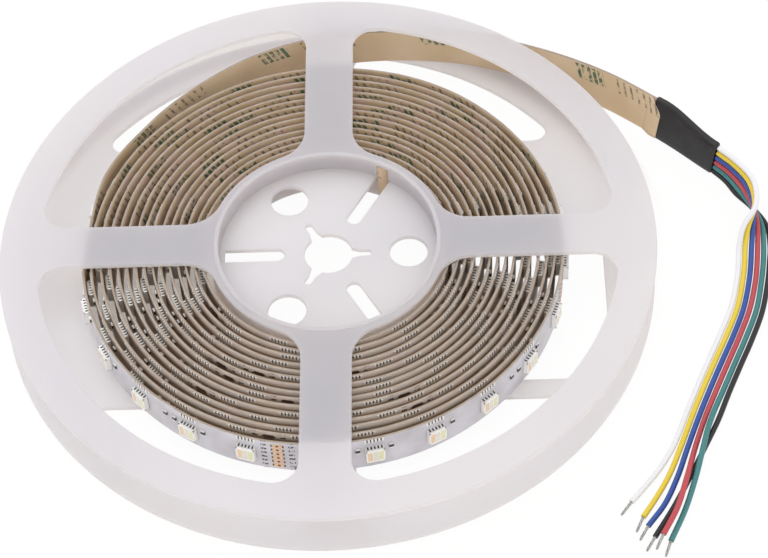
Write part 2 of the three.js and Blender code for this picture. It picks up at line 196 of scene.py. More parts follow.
# Nodes and materials
def add(tree, kind, settings=None, inputs=None):
    """Adds a node, sets its settings, and sets or links its inputs."""
    node = tree.nodes.new(kind)
    for name, value in (settings or {}).items():
        setattr(node, name, value)
    for name, value in (inputs or {}).items():
        if isinstance(value, bpy.types.NodeSocket):
            tree.links.new(value, node.inputs[name])
        else:
            node.inputs[name].default_value = value
    return node


def empty_tree(owner):
    owner.use_nodes = True
    owner.node_tree.nodes.clear()
    return owner.node_tree


def linear(code):
    """An sRGB hex colour as linear values."""
    channels = [int(code[i:i + 2], 16) / 255 for i in (1, 3, 5)]
    straight = [c / 12.92 if c <= 0.04045 else ((c + 0.055) / 1.055) ** 2.4 for c in channels]
    return straight + [1]


def start_material(name, roughness, **shader_values):
    material = bpy.data.materials.new(name)
    tree = empty_tree(material)
    shader = add(tree, "ShaderNodeBsdfPrincipled", inputs={"Roughness": roughness})
    for key, value in shader_values.items():
        shader.inputs[key.replace("_", " ")].default_value = value
    add(tree, "ShaderNodeOutputMaterial", inputs={"Surface": shader.outputs[0]})
    return material, tree, shader


def object_noise(tree, size_mm, detail=2):
    """Noise whose features measure about size_mm on the object."""
    place = add(tree, "ShaderNodeTexCoord")
    return add(tree, "ShaderNodeTexNoise", inputs={
        "Vector": place.outputs["Object"], "Scale": 1 / (size_mm * MM), "Detail": detail,
    }).outputs["Fac"]


def tint(tree, shader, factor, low, high):
    """Colour that drifts between two hex values with a factor."""
    ramp = add(tree, "ShaderNodeValToRGB", inputs={"Fac": factor})
    for element, position, code in zip(ramp.color_ramp.elements, (0.3, 0.7), (low, high)):
        element.position = position
        element.color = linear(code)
    tree.links.new(ramp.outputs[0], shader.inputs["Base Color"])
    return ramp.outputs[0]


def relief(tree, shader, factor, depth_mm):
    bump = add(tree, "ShaderNodeBump", inputs={"Height": factor, "Distance": depth_mm * MM})
    tree.links.new(bump.outputs[0], shader.inputs["Normal"])


def moulded_reel_plastic():
    # Natural polypropylene, moulded in a lightly etched tool: milky and satin. Its thin walls
    # scatter cool light back and let warmer light through, so what lies beneath shows faintly.
    material, tree, shader = start_material(
        "moulded_polypropylene", 0.36, IOR=1.49, Transmission_Weight=0.38,
    )
    tint(tree, shader, object_noise(tree, 60), "#E4E8F8", "#EBEEFA")
    relief(tree, shader, object_noise(tree, 0.9, 3), 0.02)
    through = add(tree, "ShaderNodeBsdfTranslucent", inputs={"Color": linear("#FFF8EE")})
    both = add(tree, "ShaderNodeMixShader", inputs={
        0: 0.5, 1: shader.outputs[0], 2: through.outputs[0],
    })
    output = next(node for node in tree.nodes if node.type == "OUTPUT_MATERIAL")
    tree.links.new(both.outputs[0], output.inputs["Surface"])
    return material


def plain_finish(name, low, high, roughness, grain_mm=2, depth_mm=0.01, **shader_values):
    """A finish whose colour drifts a little and whose surface is slightly uneven."""
    material, tree, shader = start_material(name, roughness, **shader_values)
    tint(tree, shader, object_noise(tree, grain_mm), low, high)
    relief(tree, shader, object_noise(tree, grain_mm / 4, 3), depth_mm)
    return material


def strip_place(tree):
    """Metres along and across the strip, from its own map."""
    uv = add(tree, "ShaderNodeUVMap", {"uv_map": "strip_metres"})
    parts = add(tree, "ShaderNodeSeparateXYZ", inputs={"Vector": uv.outputs[0]})
    return parts.outputs[0], parts.outputs[1]


def calc(tree, operation, first, second=0.0, third=0.0):
    inputs = {0: first, 1: second, 2: third}
    return add(tree, "ShaderNodeMath", {"operation": operation}, inputs).outputs[0]


def product(tree, first, second):
    return calc(tree, "MULTIPLY", first, second)


def inside(tree, value, span):
    """One between two limits in millimetres and nothing outside them."""
    above = calc(tree, "GREATER_THAN", value, span[0] * MM)
    below = calc(tree, "LESS_THAN", value, span[1] * MM)
    return product(tree, above, below)


def faded(tree, value, none, full, unit=1):
    """Nodes for the same rise as eased gives."""
    return add(tree, "ShaderNodeMapRange", {"interpolation_type": "SMOOTHSTEP"}, {
        "Value": value, "From Min": none * unit, "From Max": full * unit,
    }).outputs[0]


def repeat(tree, value, pitch, start=0.0):
    """Place within each repeat, for a pitch and a start in millimetres."""
    shifted = calc(tree, "SUBTRACT", value, start * MM)
    return calc(tree, "FLOORED_MODULO", shifted, pitch * MM)


def mixed(tree, factor, first, second):
    """A mix of two colours, whose sockets are the node's inputs 6 and 7 and its output 2."""
    node = add(tree, "ShaderNodeMix", {"data_type": "RGBA"}, {"Factor": factor})
    for index, value in ((6, first), (7, second)):
        if isinstance(value, bpy.types.NodeSocket):
            tree.links.new(value, node.inputs[index])
        else:
            node.inputs[index].default_value = value
    return node.outputs[2]


# Ink beside the cut pads, in millimetres. Dashes and ticks are measured across the strip or
# along it, from a point CUT_MARGIN before the cutting line.
CUT_MARGIN = 10
INK_DASH = (0.5, 1.25)
INK_COLUMNS = ((5.5, 7.1), (12.9, 14.4))
TICK_PITCH = 1.1
TICK = (0.2, 0.8)
TICK_HEIGHT = (0.5, 1.1)
TICK_ROW = (0.6, 6.4)
# The heights across the strip, in millimetres, over which the painted shade in the gaps between wound
# turns deepens downwards.
GAP_SHADE_HEIGHT = (10.9, 9.4)


def circuit_board():
    # White solder mask on flexible polyimide: semi-gloss, slightly cool, with small black ink
    # marks beside the copper pads of each cutting line.
    material, tree, shader = start_material("white_solder_mask", 0.42, IOR=1.5)
    along, across = strip_place(tree)
    base = tint(tree, shader, object_noise(tree, 9), "#BAB7BD", "#D3D2DA")
    # On the wound part, the face seen between the turns is painted with a warm reflection of the liner
    # and with painted shade that deepens down into the gap.
    gap_shaded = mixed(tree, object_noise(tree, 16), linear("#E2D3C9"), linear("#E2DDDA"))
    gap_shaded = mixed(tree, faded(tree, across, *GAP_SHADE_HEIGHT, MM), gap_shaded, linear("#9A877A"))
    wound = calc(tree, "LESS_THAN", along, (ROLL_END - OPEN_FACE) * MM)
    base = mixed(tree, wound, base, gap_shaded)
    within = repeat(tree, along, LEDS_PER_CUT * LED_PITCH, CUT_START - CUT_MARGIN)
    lines = repeat(tree, across, PAD_PITCH, STRIP_WIDTH / 2 - 3 * PAD_PITCH)
    dash = inside(tree, lines, INK_DASH)
    left, right = (inside(tree, within, column) for column in INK_COLUMNS)
    broken = calc(tree, "GREATER_THAN", object_noise(tree, 0.5, 0), 0.4)
    dashes = product(tree, product(tree, dash, calc(tree, "MAXIMUM", left, right)), broken)
    row = product(tree, inside(tree, across, TICK_HEIGHT), inside(tree, within, TICK_ROW))
    ticks = product(tree, row, inside(tree, repeat(tree, along, TICK_PITCH), TICK))
    ink = calc(tree, "MAXIMUM", dashes, ticks)
    colour = mixed(tree, ink, base, linear("#2A2829"))
    tree.links.new(colour, shader.inputs["Base Color"])
    relief(tree, shader, object_noise(tree, 3), 0.02)
    return material


# Plain bars printed on the liner, in millimetres: the span of a group along the liner and across
# it, one bar, the bars' pitch, their strength and their ink
PRINT_PITCH = 47
PRINT_START = 20
PRINT_SLANT = 0.45
PRINT = (
    ((4, 12.6), (6.9, 11.6), (0, 1.15), 1.7, 0.9, "#285B40"),
    ((17, 33), (7.3, 11.6), (0, 0.75), 2.3, 0.75, "#3B3F30"),
)
FRONT_TURN = 400
BLUSH = 0.7


def release_liner():
    # Tan glassine liner on the adhesive: thin calendered paper with a faint sheen, pinkish in
    # places, and plain green and dark bars printed along it.
    material, tree, shader = start_material("tan_glassine_liner", 0.5, IOR=1.48)
    along, across = strip_place(tree)
    colour = tint(tree, shader, object_noise(tree, 14), "#CBB18D", "#D7BFA1")
    inner = calc(tree, "LESS_THAN", along, (ROLL_END - FRONT_TURN) * MM)
    blushes = product(tree, faded(tree, object_noise(tree, 7), 0.5, 0.62), inner)
    colour = mixed(tree, product(tree, blushes, BLUSH), colour, linear("#D9B8A8"))
    worn = faded(tree, object_noise(tree, 1.6, 3), 0.38, 0.56)
    slanted = calc(tree, "MULTIPLY_ADD", across, PRINT_SLANT, along)
    within = repeat(tree, slanted, PRINT_PITCH, PRINT_START)
    for group, height, bar, pitch, strength, ink in PRINT:
        bars = product(tree, inside(tree, within, group), inside(tree, across, height))
        bars = product(tree, bars, inside(tree, repeat(tree, within, pitch, group[0]), bar))
        shown = product(tree, bars, product(tree, worn, strength))
        colour = mixed(tree, shown, colour, linear(ink))
    tree.links.new(colour, shader.inputs["Base Color"])
    relief(tree, shader, object_noise(tree, 0.6, 3), 0.02)
    return material


# Meshes
def finished(name, bm, materials):
    """Makes a bmesh a piece of the object that rides on its one body."""
    mesh = bpy.data.meshes.new(name)
    bm.to_mesh(mesh)
    bm.free()
    for material in materials:
        mesh.materials.append(material)
    piece = linked(name, mesh)
    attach(piece, "root")
    return piece


def join_rings(bm, rings):
    """Smooth faces from each closed ring of vertices to the next."""
    for here, there in zip(rings, rings[1:]):
        for index in range(len(here)):
            after = (index + 1) % len(here)
            face = bm.faces.new((here[index], here[after], there[after], there[index]))
            face.smooth = True


def arc(x, y, radius, start, end, step):
    """Points of an arc between two angles in degrees."""
    count = max(2, round(abs(end - start) / step))
    points = []
    for index in range(count + 1):
        angle = math.radians(start + (end - start) * index / count)
        points.append((x + radius * math.cos(angle), y + radius * math.sin(angle)))
    return points


def without_doubles(points):
    kept = []
    for point in points:
        if not kept or math.dist(point, kept[-1]) > 1e-4:
            kept.append(point)
    if math.dist(kept[0], kept[-1]) < 1e-4:
        kept.pop()
    return kept


def turned_points(points, degrees):
    c, s = math.cos(math.radians(degrees)), math.sin(math.radians(degrees))
    return [(x * c - y * s, x * s + y * c) for x, y in points]


def circle(x, y, radius, count=48):
    return arc(x, y, radius, 0, 360, 360 / count)[:-1]


def spoke_window():
    edge = SPOKE / 2
    outer = REEL_RADIUS - RIM_WIDTH
    far = math.sqrt((outer - OUTER_FILLET) ** 2 - (edge + OUTER_FILLET) ** 2)
    near = math.sqrt((WINDOW_INNER + INNER_FILLET) ** 2 - (edge + INNER_FILLET) ** 2)
    far_angle = math.degrees(math.atan2(edge + OUTER_FILLET, far))
    near_angle = math.degrees(math.atan2(edge + INNER_FILLET, near))
    return without_doubles(
        arc(far, edge + OUTER_FILLET, OUTER_FILLET, -90, far_angle, 6)
        + arc(0, 0, outer, far_angle, 90 - far_angle, 2)
        + arc(edge + OUTER_FILLET, far, OUTER_FILLET, 90 - far_angle, 180, 6)
        + arc(edge + INNER_FILLET, near, INNER_FILLET, 180, 270 - near_angle, 6)
        + arc(0, 0, WINDOW_INNER, 90 - near_angle, near_angle, 3)
        + arc(near, edge + INNER_FILLET, INNER_FILLET, 180 + near_angle, 270, 6)
    )


def segment_window():
    left = LOWER_SPOKE / 2 + LOWER_FILLET
    low = SEGMENT_EDGE + LOWER_FILLET
    reach = REEL_RADIUS - RIM_WIDTH - LOWER_FILLET
    right = math.sqrt(reach ** 2 - low ** 2)
    high = math.sqrt(reach ** 2 - left ** 2)
    low_angle = math.degrees(math.atan2(low, right))
    high_angle = math.degrees(math.atan2(high, left))
    return without_doubles(
        arc(right, low, LOWER_FILLET, -90, low_angle, 9)
        + arc(0, 0, REEL_RADIUS - RIM_WIDTH, low_angle, high_angle, 2)
        + arc(left, high, LOWER_FILLET, high_angle, 180, 9)
        + arc(left, low, LOWER_FILLET, 180, 270, 9)
    )


def side_window():
    outer = REEL_RADIUS - RIM_WIDTH
    corner = -math.degrees(math.acos(SIDE_OUTER / outer))
    front = -math.degrees(math.asin(SIDE_FRONT / outer))
    return arc(0, 0, outer, front, corner, 2) + [
        (SIDE_OUTER, SIDE_BACK), (SIDE_INNER, SIDE_BACK), (SIDE_INNER, -SIDE_FRONT),
    ]


def radial_slot(outer):
    half = SLOT_WIDTH / 2
    return [(outer, half)] + arc(SLOT_INNER + half, 0, half, 90, 270, 15) + [(outer, -half)]


def arbor_hole():
    """The arbor hole and its three key notches as one outline."""
    root = math.degrees(math.asin(KEY_ROOT_WIDTH / 2 / ARBOR_RADIUS))
    points = []
    for third in (0, 120, 240):
        tip = arc(KEY_REACH - KEY_WIDTH / 2, 0, KEY_WIDTH / 2, -90, 90, 15)
        notch = [(KEY_ROOT_REACH, -KEY_WIDTH / 2)] + tip + [(KEY_ROOT_REACH, KEY_WIDTH / 2)]
        points += turned_points(notch, third)
        points += arc(0, 0, ARBOR_RADIUS, third + root, third + 120 - root, 4)
    return without_doubles(points)


def floor_outline():
    """The hub floor's rim, open where the long slot runs out through the hub."""
    radius = (HUB_INNER + HUB_RADIUS) / 2
    half = math.degrees(math.asin(SLOT_WIDTH / 2 / radius))
    rim = arc(0, 0, radius, SLIT_ANGLE + half, SLIT_ANGLE + 360 - half, 3)
    return without_doubles(rim + turned_points(radial_slot(radius)[1:-1][::-1], SLIT_ANGLE))


def rounded_plate(bm, outlines, bottom, top, rounding, steps=3):
    """A flat plate between closed outlines, the first one outside and the rest holes."""
    top_edges, bottom_edges = [], []
    for order, outline in enumerate(outlines):
        area = sum(a[0] * b[1] - b[0] * a[1] for a, b in zip(outline, outline[1:] + outline[:1]))
        if (area > 0) != (order == 0):
            outline = outline[::-1]
        count = len(outline)
        inward = []
        for index, point in enumerate(outline):
            before, after = outline[index - 1], outline[(index + 1) % count]
            a = Vector((point[0] - before[0], point[1] - before[1])).normalized()
            b = Vector((after[0] - point[0], after[1] - point[1])).normalized()
            normal = Vector((-a.y - b.y, a.x + b.x)).normalized()
            inward.append(normal / max(0.5, normal.dot(Vector((-a.y, a.x)))))
        angles = [math.pi / 2 * index / steps for index in range(steps + 1)]
        sines = [rounding * (1 - math.sin(angle)) for angle in angles]
        cosines = [rounding * (1 - math.cos(angle)) for angle in angles]
        levels = [(s, bottom + c) for s, c in zip(sines, cosines)]
        levels += [(c, top - s) for s, c in zip(sines, cosines)]
        rings = []
        for offset, height in levels:
            rings.append([
                bm.verts.new(at(p[0] + n.x * offset, p[1] + n.y * offset, height))
                for p, n in zip(outline, inward)
            ])
        join_rings(bm, rings)
        for ring, edges in ((rings[0], bottom_edges), (rings[-1], top_edges)):
            for index in range(count):
                edge = bm.edges.get((ring[index], ring[(index + 1) % count]))
                edge.smooth = False
                edges.append(edge)
    bmesh.ops.triangle_fill(bm, edges=top_edges, use_beauty=True, normal=(0, 0, 1))
    bmesh.ops.triangle_fill(bm, edges=bottom_edges, use_beauty=True, normal=(0, 0, -1))


def turned_wall(bm, profile, start=0.0, sweep=360.0, step=2.0):
    """A round wall from a closed [radius, height] profile, whole or with a gap."""
    whole = sweep >= 360
    count = round(sweep / step)
    columns = []
    for index in range(count if whole else count + 1):
        angle = math.radians(start + sweep * index / count)
        columns.append([
            bm.verts.new(at(r * math.cos(angle), r * math.sin(angle), z)) for r, z in profile
        ])
    if whole:
        columns.append(columns[0])
    join_rings(bm, columns)
    corners = [Vector(corner) for corner in profile]
    for index, here in enumerate(corners):
        before, after = corners[index - 1], corners[(index + 1) % len(corners)]
        if (here - before).angle(after - here) > math.radians(SHARP_DEGREES):
            for a, b in zip(columns, columns[1:]):
                bm.edges.get((a[index], b[index])).smooth = False
    if not whole:
        bm.faces.new(columns[0])
        bm.faces.new(columns[-1][::-1])


def soft_corners(profile, cut):
    """A profile with each corner cut back a little, so that its edges catch the light."""
    points = []
    for index, corner in enumerate(profile):
        here = Vector(corner)
        for other in (Vector(profile[index - 1]), Vector(profile[(index + 1) % len(profile)])):
            points.append(tuple(here + (other - here).normalized() * cut))
    return points


def make_reel(plastic):
    slit_half = math.degrees(math.asin(SLOT_WIDTH / 2 / HUB_INNER))
    slit_end = SLIT_ANGLE + slit_half
    sweep = 360 - 2 * slit_half
    bm = bmesh.new()
    windows = [turned_points(spoke_window(), turn) for turn in (0, 90, 180, 270)]
    rim = circle(0, 0, REEL_RADIUS, RIM_POINTS)
    plate = [rim, circle(0, 0, SKIRT_INNER, HUB_POINTS)] + windows
    rounded_plate(bm, plate, REEL_HEIGHT - FLANGE, REEL_HEIGHT, EDGE_ROUNDING)
    foot = REEL_HEIGHT - BEAD_SUNK
    bead = [(0, foot), (BEAD_WIDTH, foot)] + [(out, BEAD_TOP - down) for out, down in BEAD_CROWN]
    turned_wall(bm, [(SKIRT_INNER + out, height) for out, height in bead])
    skirt_top = REEL_HEIGHT - SKIRT_SUNK
    skirt = [(SKIRT_INNER, SKIRT_BOTTOM), (SKIRT_OUTER, SKIRT_BOTTOM)]
    skirt += [(SKIRT_OUTER, skirt_top), (SKIRT_INNER, skirt_top)]
    turned_wall(bm, soft_corners(skirt, SKIRT_ROUNDING), slit_end, sweep)
    bmesh.ops.recalc_face_normals(bm, faces=bm.faces)
    upper = finished("upper_flange", bm, [plastic])
    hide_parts("reel_upper_half")

    bm = bmesh.new()
    windows = []
    for x, y in ((1, 1), (-1, 1), (-1, -1), (1, -1)):
        over, back = REAR_SHIFT if y > 0 else (0, 0)
        windows.append([(px * x + over, py * y + back) for px, py in segment_window()])
    windows.append(side_window())
    plate = [rim, circle(0, 0, HUB_INNER, HUB_POINTS)] + windows
    rounded_plate(bm, plate, 0, FLANGE, EDGE_ROUNDING)
    foot = FLANGE - HUB_SUNK
    tube = [(HUB_INNER, foot), (HUB_RADIUS, foot), (HUB_RADIUS, HUB_TOP), (HUB_INNER, HUB_TOP)]
    turned_wall(bm, soft_corners(tube, TUBE_ROUNDING), slit_end, sweep)
    holes = [arbor_hole()]
    for third in (0, 120, 240):
        holes.append(turned_points(circle(HOLE_CIRCLE, 0, HOLE_RADIUS), third))
    for turn in (180, 300):
        holes.append(turned_points(radial_slot(SLOT_OUTER), turn))
    rounded_plate(bm, [floor_outline()] + holes, FLOOR_BOTTOM, FLOOR_TOP, FLOOR_ROUNDING)
    bmesh.ops.recalc_face_normals(bm, faces=bm.faces)
    lower = finished("lower_flange", bm, [plastic])
    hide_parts("reel_lower_half")


# The strip's line
def winding_point(turn):
    angle = math.radians(SLIT_ANGLE + WINDING_LAG - 360 * turn)
    share = turn / WINDING_TURNS
    bulge = WINDING_BULGE * share ** 2 * math.cos(angle - math.radians(BULGE_ANGLE))
    bulge += LOOSE_BULGE * share ** 4 * (1 + math.cos(angle - math.radians(LOOSE_ANGLE))) / 2
    slow, quick = math.sin(3 * angle + 1.7 * turn), math.sin(8 * angle - 2.3 * turn)
    wobble = WOBBLE * min(turn, 1) * (slow + 0.7 * quick)
    radius = WINDING_START + STRIP_PITCH * turn + bulge + wobble
    return Vector((radius * math.cos(angle), radius * math.sin(angle)))


TAIL_ROUTE = [
    (-62.9, 24.3), (-50.9, 45), (-37.5, 59), (-23.3, 69), (-8.8, 74.9), (5.8, 77.1), (20, 77.6),
    (34.7, 76.1), (47.8, 72.6), (63, 66), (78.4, 56.8), (91.1, 46.8), (99.6, 39.8), (108.04, 32.55),
]


def cubic(start, end, leaving, arriving, t):
    """A point between two points, on a curve that leaves and arrives with given pulls."""
    third = 2 * start - 2 * end + leaving + arriving
    second = -3 * start + 3 * end - 2 * leaving - arriving
    return third * t ** 3 + second * t ** 2 + leaving * t + start


def even_spline(points, per_span):
    """A smooth line through points, with the same pull in every span."""
    line = []
    for index in range(len(points) - 1):
        p0 = points[max(index - 1, 0)]
        p1, p2 = points[index], points[index + 1]
        p3 = points[min(index + 2, len(points) - 1)]
        leaving, arriving = (p2 - p0) * 0.5, (p3 - p1) * 0.5
        line += [cubic(p1, p2, leaving, arriving, step / per_span) for step in range(per_span)]
    return line + [points[-1]]


def distances(line):
    sums = [0.0]
    for a, b in zip(line, line[1:]):
        sums.append(sums[-1] + (b - a).length)
    return sums


def resampled(line, start, end, count):
    """Evenly spaced points between two distances along a line."""
    sums = distances(line)
    points, index = [], 0
    for step in range(count + 1):
        target = start + (end - start) * step / count
        while index < len(line) - 2 and sums[index + 1] < target:
            index += 1
        share = (target - sums[index]) / (sums[index + 1] - sums[index])
        points.append(line[index].lerp(line[index + 1], share))
    return points


def lean_at(point):
    return eased(point.length, LEAN_START, LEAN_END) * math.tan(TAIL_LEAN)


def leaned(point, height):
    """A point of the strip at a height, in metres, with the free end's lean."""
    shift = LEAN_DIRECTION * lean_at(point) * (height - STRIP_BOTTOM)
    return at(point.x + shift.x, point.y + shift.y, height)


# The strip's start, tucked into the hub's slit: angle and radius
TUCK = [(63.2, 30.2), (61, 30.2), (59, 30.8), (57.2, 32.1), (55.6, 32.75)]
TUCK_STEPS = 5
TUCK_DETAIL = 6
TAIL_DETAIL = 24
FREE_END_STEPS = 150
TURN_STEPS = 120
winding_count = round(WINDING_TURNS * TURN_STEPS)
winding = [
    winding_point(WINDING_TURNS * index / winding_count)
    for index in range(TUCK_STEPS, winding_count + 1)
]
tucked = [
    Vector((radius * math.cos(math.radians(angle)), radius * math.sin(math.radians(angle))))
    for angle, radius in TUCK
]
winding = even_spline(tucked + winding[:2], TUCK_DETAIL)[:-TUCK_DETAIL - 1] + winding
tail = even_spline([winding[-1]] + [Vector(p) for p in TAIL_ROUTE], TAIL_DETAIL)
tail_length = distances(tail)[-1]
sleeve_start = tail_length - SLEEVE_LENGTH
free_end = resampled(tail, 0, sleeve_start + SLEEVE_OVERLAP, FREE_END_STEPS)
strip_line = winding + free_end[1:]
strip_sums = distances(strip_line)
ROLL_END = distances(winding)[-1]
LED_ORIGIN = ROLL_END + LED_START
CUT_START = LED_ORIGIN + CUT_PHASE * LED_PITCH
OPEN_FACE = 300


def side_of(line, index):
    """Unit vector to the left of a line, which is outwards here."""
    before = line[max(index - 1, 0)]
    after = line[min(index + 1, len(line) - 1)]
    along = (after - before).normalized()
    return Vector((-along.y, along.x))


def map_faces(bm, layer, places):
    """Gives each corner of every face its place along and across the strip, in metres."""
    for face in bm.faces:
        for loop in face.loops:
            along, across = places[loop.vert]
            loop[layer].uv = (along * MM, across * MM)


def make_strip(board, board_edge, liner, liner_edge):
    bm = bmesh.new()
    layer = bm.loops.layers.uv.new("strip_metres")
    half = STRIP_THICKNESS / 2
    section = [
        (half, STRIP_BOTTOM), (half, STRIP_TOP), (0, STRIP_TOP), (-half, STRIP_TOP),
        (-half, STRIP_BOTTOM), (0, STRIP_BOTTOM),
    ]
    finishes = [0, 1, 3, 2, 3, 1]
    columns, places = [], {}
    for index, point in enumerate(strip_line):
        side = side_of(strip_line, index)
        column = [bm.verts.new(leaned(point + side * off, height)) for off, height in section]
        for vert, (_, height) in zip(column, section):
            places[vert] = strip_sums[index], height - STRIP_BOTTOM
        columns.append(column)
    join_rings(bm, columns)
    map_faces(bm, layer, places)
    for order, face in enumerate(bm.faces):
        face.material_index = finishes[order % len(finishes)]
    for here, there in zip(columns, columns[1:]):
        for part in (0, 1, 3, 4):
            bm.edges.get((here[part], there[part])).smooth = False
    for column in (columns[0][::-1], columns[-1]):
        bm.faces.new(column).material_index = 1
    bmesh.ops.recalc_face_normals(bm, faces=bm.faces)
    strip = finished("wound_strip", bm, [board, board_edge, liner, liner_edge])
    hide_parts("led_strip")


# What repeats along the strip
def along_strip_tree():
    """Places copies of a part at even distances along the strip's line, upright on its outer face."""
    tree = bpy.data.node_groups.new("repeat_along_strip", "GeometryNodeTree")
    sockets = {}
    for name, kind in (
        ("Geometry", "NodeSocketGeometry"), ("Part", "NodeSocketObject"), ("Count", "NodeSocketInt"),
        ("First", "NodeSocketFloat"), ("Pitch", "NodeSocketFloat"), ("Finish", "NodeSocketMaterial"),
    ):
        sockets[name] = tree.interface.new_socket(name, in_out="INPUT", socket_type=kind).identifier
    tree.interface.new_socket("Geometry", in_out="OUTPUT", socket_type="NodeSocketGeometry")
    given = add(tree, "NodeGroupInput").outputs
    line = add(tree, "GeometryNodeMeshToCurve", inputs={"Mesh": given["Geometry"]})
    points = add(tree, "GeometryNodePoints", inputs={"Count": given["Count"]})
    order = add(tree, "GeometryNodeInputIndex")
    reach = add(tree, "ShaderNodeMath", {"operation": "MULTIPLY_ADD"}, {
        0: order.outputs[0], 1: given["Pitch"], 2: given["First"],
    })
    lean = add(tree, "GeometryNodeInputNamedAttribute", {"data_type": "FLOAT"}, {"Name": "lean"})
    sampling = {"mode": "LENGTH", "data_type": "FLOAT", "use_all_curves": True}
    spot = add(tree, "GeometryNodeSampleCurve", sampling, {
        "Curves": line.outputs[0], "Value": lean.outputs[0], "Length": reach.outputs[0],
    })
    placed = add(tree, "GeometryNodeSetPosition", inputs={
        "Geometry": points.outputs[0], "Position": spot.outputs["Position"],
    })

    def vector(operation, inputs):
        return add(tree, "ShaderNodeVectorMath", {"operation": operation}, inputs).outputs[0]

    level = vector("MULTIPLY", {0: spot.outputs["Tangent"], 1: (1, 1, 0)})
    outward = vector("CROSS_PRODUCT", {0: (0, 0, 1), 1: level})
    tilted = vector("SCALE", {0: outward, "Scale": spot.outputs["Value"]})
    upright = vector("ADD", {0: tilted, 1: (0, 0, 1)})
    turn = add(tree, "FunctionNodeAxesToRotation", {"primary_axis": "X", "secondary_axis": "Z"}, {
        0: level, 1: upright,
    })
    part = add(tree, "GeometryNodeObjectInfo", {"transform_space": "ORIGINAL"}, {
        "Object": given["Part"],
    })
    copies = add(tree, "GeometryNodeInstanceOnPoints", inputs={
        "Points": placed.outputs[0], "Instance": part.outputs["Geometry"], "Rotation": turn.outputs[0],
    })
    real = add(tree, "GeometryNodeRealizeInstances", inputs={"Geometry": copies.outputs[0]})
    covered = add(tree, "GeometryNodeSetMaterial", inputs={
        "Geometry": real.outputs[0], "Material": given["Finish"],
    })
    add(tree, "NodeGroupOutput", inputs={"Geometry": covered.outputs[0]})
    return tree, sockets


def guide_mesh():
    """The strip's middle line as edges, with its lean at each point."""
    middle = (STRIP_BOTTOM + STRIP_TOP) / 2
    mesh = bpy.data.meshes.new("strip_guide")
    points = [leaned(point, middle) for point in strip_line]
    mesh.from_pydata(points, [(i, i + 1) for i in range(len(points) - 1)], [])
    lean = mesh.attributes.new("lean", "FLOAT", "POINT")
    for index, point in enumerate(strip_line):
        lean.data[index].value = lean_at(point)
    return mesh


def box_part(bm, low, high, bevel=0.0):
    """A box between two corners in millimetres: along the strip, out of it, and up."""
    centre = [(a + b) / 2 * MM for a, b in zip(low, high)]
    size = [(b - a) * MM for a, b in zip(low, high)]
    place = Matrix.Translation(centre) @ Matrix.Diagonal(size + [1])
    made = bmesh.ops.create_cube(bm, size=1, matrix=place)
    if bevel:
        edges = {edge for vert in made["verts"] for edge in vert.link_edges}
        bmesh.ops.bevel(
            bm, geom=list(edges), offset=bevel * MM, segments=1, affect="EDGES", profile=0.5,
        )


# How far the board's face and the foot of each solder joint lie from the strip's line
SUNK = 0.02
FACE = STRIP_THICKNESS / 2
FOOT = FACE - SUNK


def centred(count, pitch):
    """Even places on both sides of zero."""
    return [(index - (count - 1) / 2) * pitch for index in range(count)]


# The package's three cells, and the depth of the walls round them
CELLS = {"warm": 1.45, "clear": 0.0, "cool": -1.45}
CELL_WIDTH = 1.3
CELL_HALF_HEIGHT = 1.85
CELL_DEPTH = 0.33
CELL_SUNK = 0.06
WALL_DEPTH = 0.35
BASE_SUNK = 0.3


def led_body(bm):
    """The package's white frame, with a wall round each of its three cells."""
    half, front = LED_SIZE / 2, FACE + LED_HEIGHT
    box_part(bm, (-half, FACE, -half), (half, front - BASE_SUNK, half), 0.1)
    sides = sorted(x + s * CELL_WIDTH / 2 for x in CELLS.values() for s in (-1, 1))
    edges = [-half] + sides + [half]
    for left, right in zip(edges[::2], edges[1::2]):
        box_part(bm, (left, front - WALL_DEPTH, -half), (right, front, half), 0.04)
    for low, high in ((-half, -CELL_HALF_HEIGHT), (CELL_HALF_HEIGHT, half)):
        box_part(bm, (-half, front - WALL_DEPTH, low), (half, front, high), 0.04)


def led_cell(bm, name):
    middle, front = CELLS[name], FACE + LED_HEIGHT
    low = (middle - CELL_WIDTH / 2, front - CELL_DEPTH, -CELL_HALF_HEIGHT)
    high = (middle + CELL_WIDTH / 2, front - CELL_SUNK, CELL_HALF_HEIGHT)
    box_part(bm, low, high)


PINS = 6
PIN_PITCH = 0.92
PIN_GAP = 0.4
LEAD_HALF_WIDTH = 0.24
LEAD_HEIGHT = 1.1
LEAD_OUT = 0.1
SOLDER_OUT = 0.4
MARK_HALF_WIDTH = 0.26
EDGE_MARK_LOW = 4.65
EDGE_MARK_HIGH = 5.85
SOLDER_PROUD = 0.16


def led_leads(bm):
    """Leads over the package's top and bottom, and their solder on the board."""
    half, edge = LEAD_HALF_WIDTH, LED_SIZE / 2
    for middle in centred(PINS, PIN_PITCH):
        left, right = middle - half, middle + half
        for side in (-1, 1):
            low, high = sorted((side * (edge - SUNK), side * (edge + LEAD_OUT)))
            box_part(bm, (left, FACE, low), (right, FACE + LEAD_HEIGHT, high))
            low, high = sorted((side * edge, side * (edge + SOLDER_OUT)))
            box_part(bm, (left, FOOT, low), (right, FACE + SOLDER_PROUD, high), 0.05)


def between_pins(bm, low, high, proud):
    """Dark boxes in the gaps between pins."""
    half = PIN_GAP / 2
    for middle in centred(PINS - 1, PIN_PITCH):
        box_part(bm, (middle - half, FOOT, low), (middle + half, FACE + proud, high))


def led_lead_gaps(bm):
    """Painted shade between the package's leads: dark boxes where the gaps between them lie in shade.
    """
    between_pins(bm, LED_SIZE / 2 - SUNK, LED_SIZE / 2 + 0.05, 0.85)


def edge_marks(bm):
    """Solder on the test pads near the strip's upper edge."""
    half = MARK_HALF_WIDTH
    for middle in centred(PINS, PIN_PITCH):
        low = (middle - half, FOOT, EDGE_MARK_LOW)
        box_part(bm, low, (middle + half, FACE + SOLDER_PROUD, EDGE_MARK_HIGH), 0.05)
